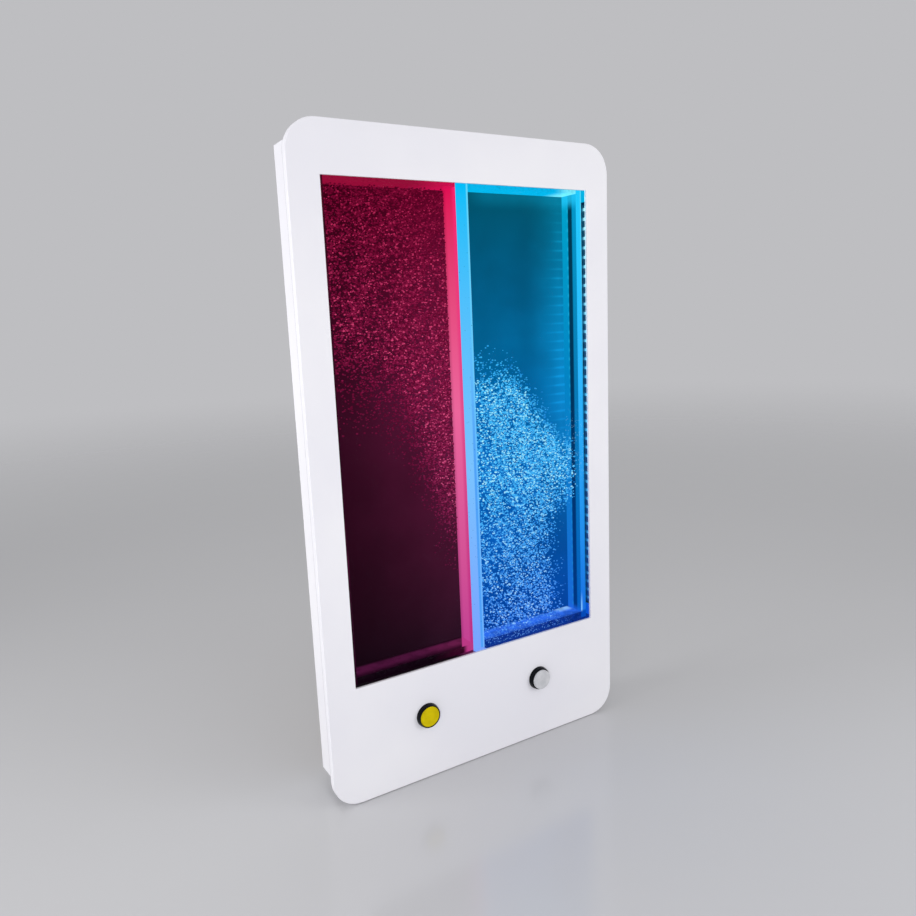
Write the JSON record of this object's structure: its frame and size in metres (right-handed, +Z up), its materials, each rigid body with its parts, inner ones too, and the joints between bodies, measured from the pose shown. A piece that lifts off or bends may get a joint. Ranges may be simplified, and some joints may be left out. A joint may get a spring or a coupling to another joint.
{
  "type": "bubble wall panel",
  "caption": "Wall-mounted light panel: two LED-lit water chambers with rising bubbles behind a rounded white fascia, with yellow and white push buttons below the window.",
  "frame": {"origin": "on the wall, in the middle of the row of four wall screws of the hanging rail", "axes": "+Z up, +Y into the wall (the fascia faces -Y), +X to the viewer's right"},
  "size_m": [0.6, 0.1185, 1.085],
  "materials": {
    "white_board": "satin",
    "raw_board": "matte",
    "black_sheet": "matte",
    "clear_acrylic": "polished",
    "pink_lit_acrylic": "polished",
    "blue_lit_acrylic": "polished",
    "yellow_lens": "gloss",
    "white_lens": "gloss",
    "black_plastic": "gloss",
    "grey_plastic": "matte",
    "lamp": "gloss",
    "steel": "satin",
    "aluminium": "satin",
    "black_aluminium": "satin",
    "rubber": "matte",
    "hose": "satin",
    "foam": "matte",
    "circuit": "satin",
    "pink_led": "satin",
    "blue_led": "satin",
    "beech": "matte"
  },
  "bodies": {
    "root": {"fascia": "white_board", "side_board_left": "white_board", "side_board_right": "white_board", "top_board": "white_board", "bottom_board": "white_board", "back_panel": "raw_board", "corner_dowels": "beech", "fascia_brackets": "steel", "short_screws": "steel", "long_screws": "steel", "tank_shelf": "raw_board", "tank_pads": "rubber", "tank_battens": "beech", "batten_foam": "foam", "front_pane": "clear_acrylic", "back_pane": "clear_acrylic", "tank_wall_left": "pink_lit_acrylic", "tank_wall_right": "blue_lit_acrylic", "tank_divider": "blue_lit_acrylic", "tank_top_left": "pink_lit_acrylic", "tank_top_right": "blue_lit_acrylic", "tank_bottom_left": "pink_lit_acrylic", "tank_bottom_right": "blue_lit_acrylic", "backing_sheet": "black_sheet", "fill_plugs": "grey_plastic", "access_caps": "grey_plastic", "led_strip_left": "pink_led", "led_strip_right": "blue_led", "led_channels": "black_aluminium", "air_manifold_left": "clear_acrylic", "air_manifold_right": "clear_acrylic", "air_hoses": "hose", "check_valves": "grey_plastic", "air_pump_left": "grey_plastic", "air_pump_right": "grey_plastic", "pump_feet": "rubber", "controller_case": "black_plastic", "controller_lid": "black_plastic", "control_board": "circuit", "power_inlet": "black_plastic", "wall_rail": "aluminium", "hanging_rail": "aluminium", "yellow_button_bezel": "black_plastic", "yellow_button_nut": "grey_plastic", "yellow_button_lamp": "lamp", "yellow_button_spring": "steel", "yellow_button_switch": "black_plastic", "yellow_button_holder": "grey_plastic", "white_button_bezel": "black_plastic", "white_button_nut": "grey_plastic", "white_button_lamp": "lamp", "white_button_spring": "steel", "white_button_switch": "black_plastic", "white_button_holder": "grey_plastic"},
    "yellow_plunger": {"yellow_button_lens": "yellow_lens", "yellow_button_plunger": "black_plastic"},
    "yellow_lever": {"yellow_button_lever": "steel"},
    "white_plunger": {"white_button_lens": "white_lens", "white_button_plunger": "black_plastic"},
    "white_lever": {"white_button_lever": "steel"}
  },
  "joints": [
    {"name": "yellow_press", "type": "slide", "parent": "root", "child": "yellow_plunger", "axis": [0, 1, 0], "range_m": [-0.004, 0.0008], "stiffness_N_per_m": 350, "deforming": ["yellow_button_spring"]},
    {"name": "yellow_lever_turn", "type": "hinge", "parent": "root", "child": "yellow_lever", "pos_m": [-0.128, -0.08115, -0.818], "axis": [0, 0, 1], "range_deg": [-11.48, 2.31]},
    {"name": "white_press", "type": "slide", "parent": "root", "child": "white_plunger", "axis": [0, 1, 0], "range_m": [0, 0.0048], "stiffness_N_per_m": 350, "springref_m": -0.003, "deforming": ["white_button_spring"]},
    {"name": "white_lever_turn", "type": "hinge", "parent": "root", "child": "white_lever", "pos_m": [0.112, -0.08115, -0.818], "axis": [0, 0, 1], "range_deg": [0, 13.77]}
  ],
  "couplings": [
    {"joint": "yellow_lever_turn", "follows": "yellow_press", "rad_per_m": 50},
    {"joint": "white_lever_turn", "follows": "white_press", "rad_per_m": 50}
  ]
}
